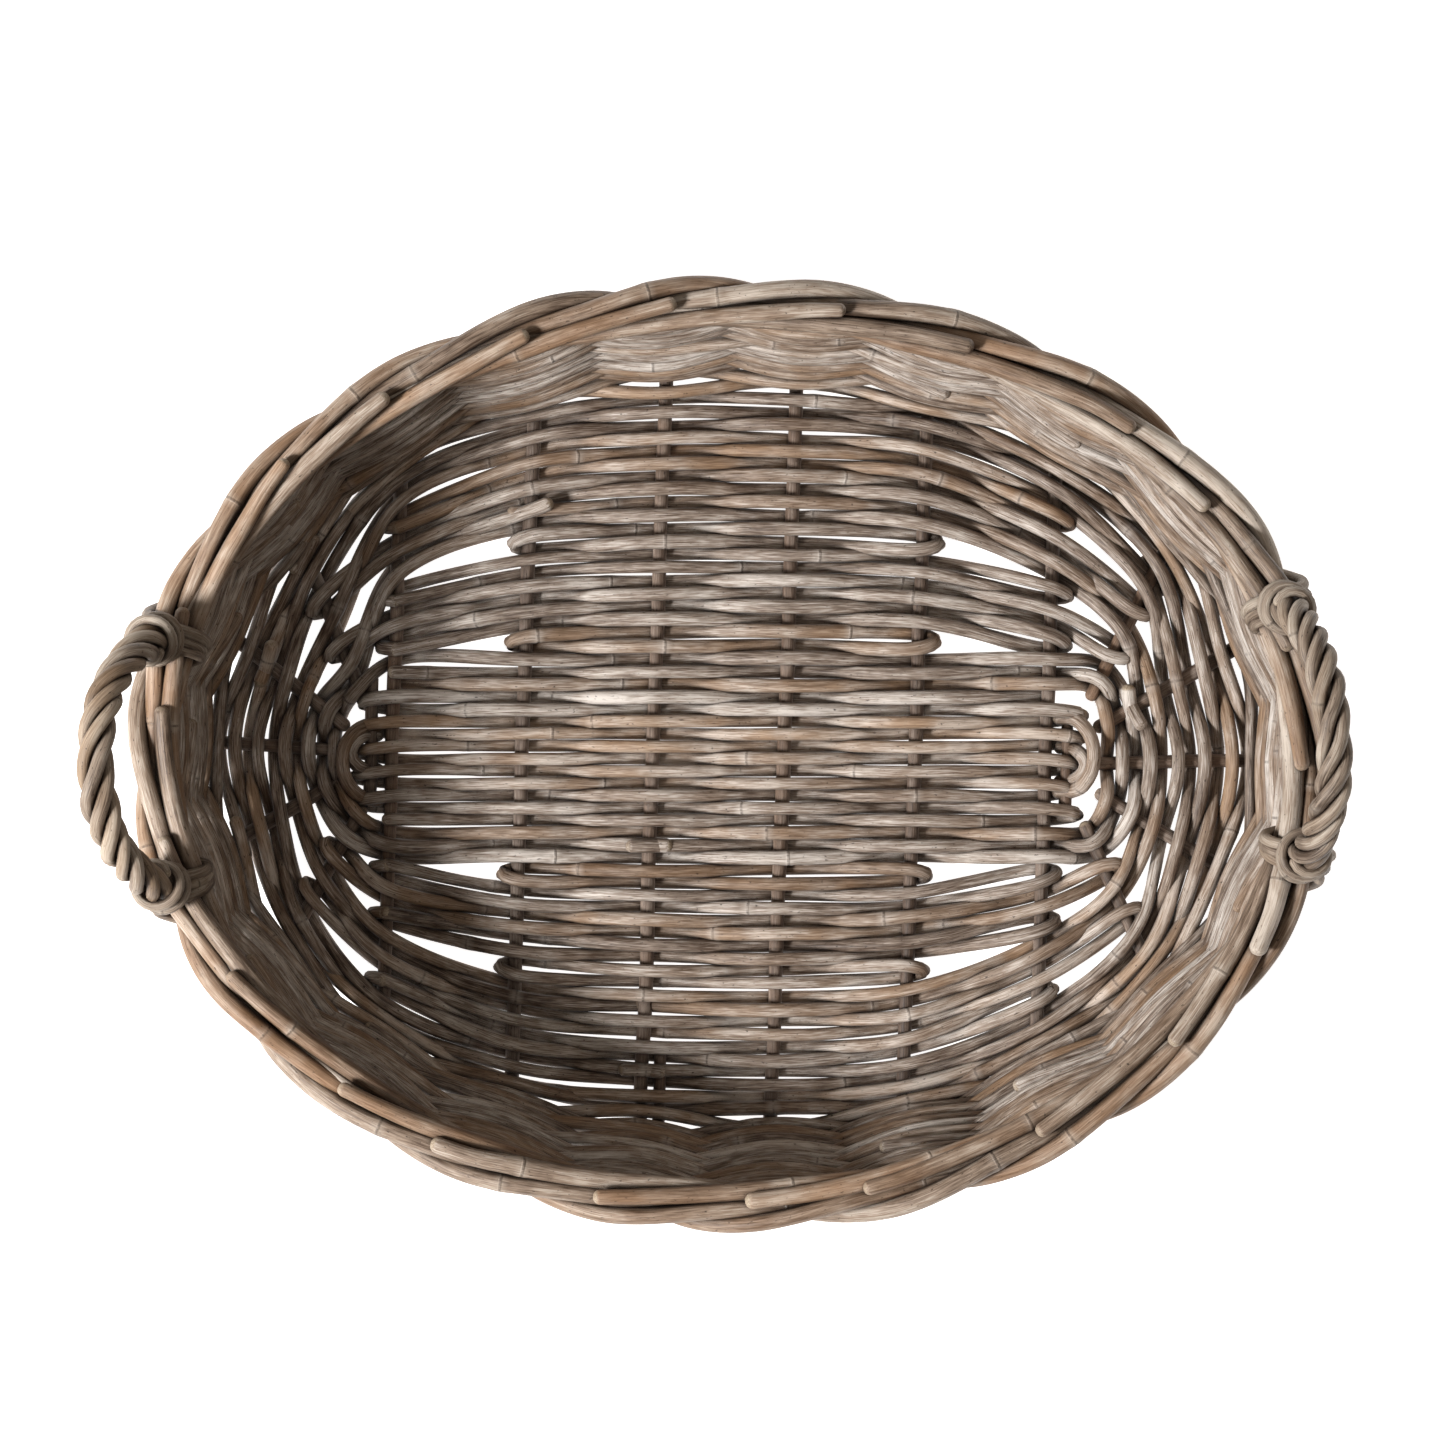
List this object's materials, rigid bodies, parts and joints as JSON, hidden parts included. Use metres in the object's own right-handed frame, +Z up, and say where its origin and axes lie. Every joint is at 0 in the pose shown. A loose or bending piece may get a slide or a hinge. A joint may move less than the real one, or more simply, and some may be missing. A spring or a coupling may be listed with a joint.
{
  "type": "woven wicker basket",
  "caption": "Open oval woven rattan basket with a rolled border and a roped bow handle at each end.",
  "frame": {"origin": "centre of the overall box, on the surface that the basket stands on", "axes": "+X through the right handle, +Y to the back, +Z up"},
  "size_m": [0.5975, 0.458, 0.2087],
  "materials": {
    "weaver": "weathered grey-brown rattan, matt",
    "stake": "dark brown rattan, matt",
    "border": "weathered brown rattan, matt with a faint sheen",
    "handle": "weathered brown rattan, matt"
  },
  "bodies": {
    "root": {"cross_stake_1": "stake", "cross_stake_2": "stake", "cross_stake_3": "stake", "cross_stake_4": "stake", "cross_stake_5": "stake", "cross_stake_6": "stake", "right_end_stake_1": "stake", "right_end_stake_2": "stake", "right_end_stake_3": "stake", "right_end_stake_4": "stake", "right_end_stake_5": "stake", "left_end_stake_1": "stake", "left_end_stake_2": "stake", "left_end_stake_3": "stake", "left_end_stake_4": "stake", "left_end_stake_5": "stake", "floor_band_weaver": "weaver", "back_packing_rod_1": "weaver", "back_packing_rod_2": "weaver", "back_packing_rod_3": "weaver", "back_packing_rod_4": "weaver", "front_packing_rod_1": "weaver", "front_packing_rod_2": "weaver", "front_packing_rod_3": "weaver", "front_packing_rod_4": "weaver", "base_weaver_a": "weaver", "base_weaver_b": "weaver", "lower_side_weaver_a": "weaver", "lower_side_weaver_b": "weaver", "upper_side_weaver_a": "weaver", "upper_side_weaver_b": "weaver", "border_rod_01": "border", "border_rod_02": "border", "border_rod_03": "border", "border_rod_04": "border", "border_rod_05": "border", "border_rod_06": "border", "border_rod_07": "border", "border_rod_08": "border", "border_rod_09": "border", "border_rod_10": "border", "border_rod_11": "border", "border_rod_12": "border", "border_rod_13": "border", "border_rod_14": "border", "border_rod_15": "border", "border_rod_16": "border", "border_rod_17": "border", "border_rod_18": "border", "border_rod_19": "border", "border_rod_20": "border", "border_rod_21": "border", "border_rod_22": "border", "left_handle_bow": "handle", "left_handle_strand_a": "handle", "left_handle_strand_b": "handle", "right_handle_bow": "handle", "right_handle_strand_a": "handle", "right_handle_strand_b": "handle"}
  },
  "joints": []
}
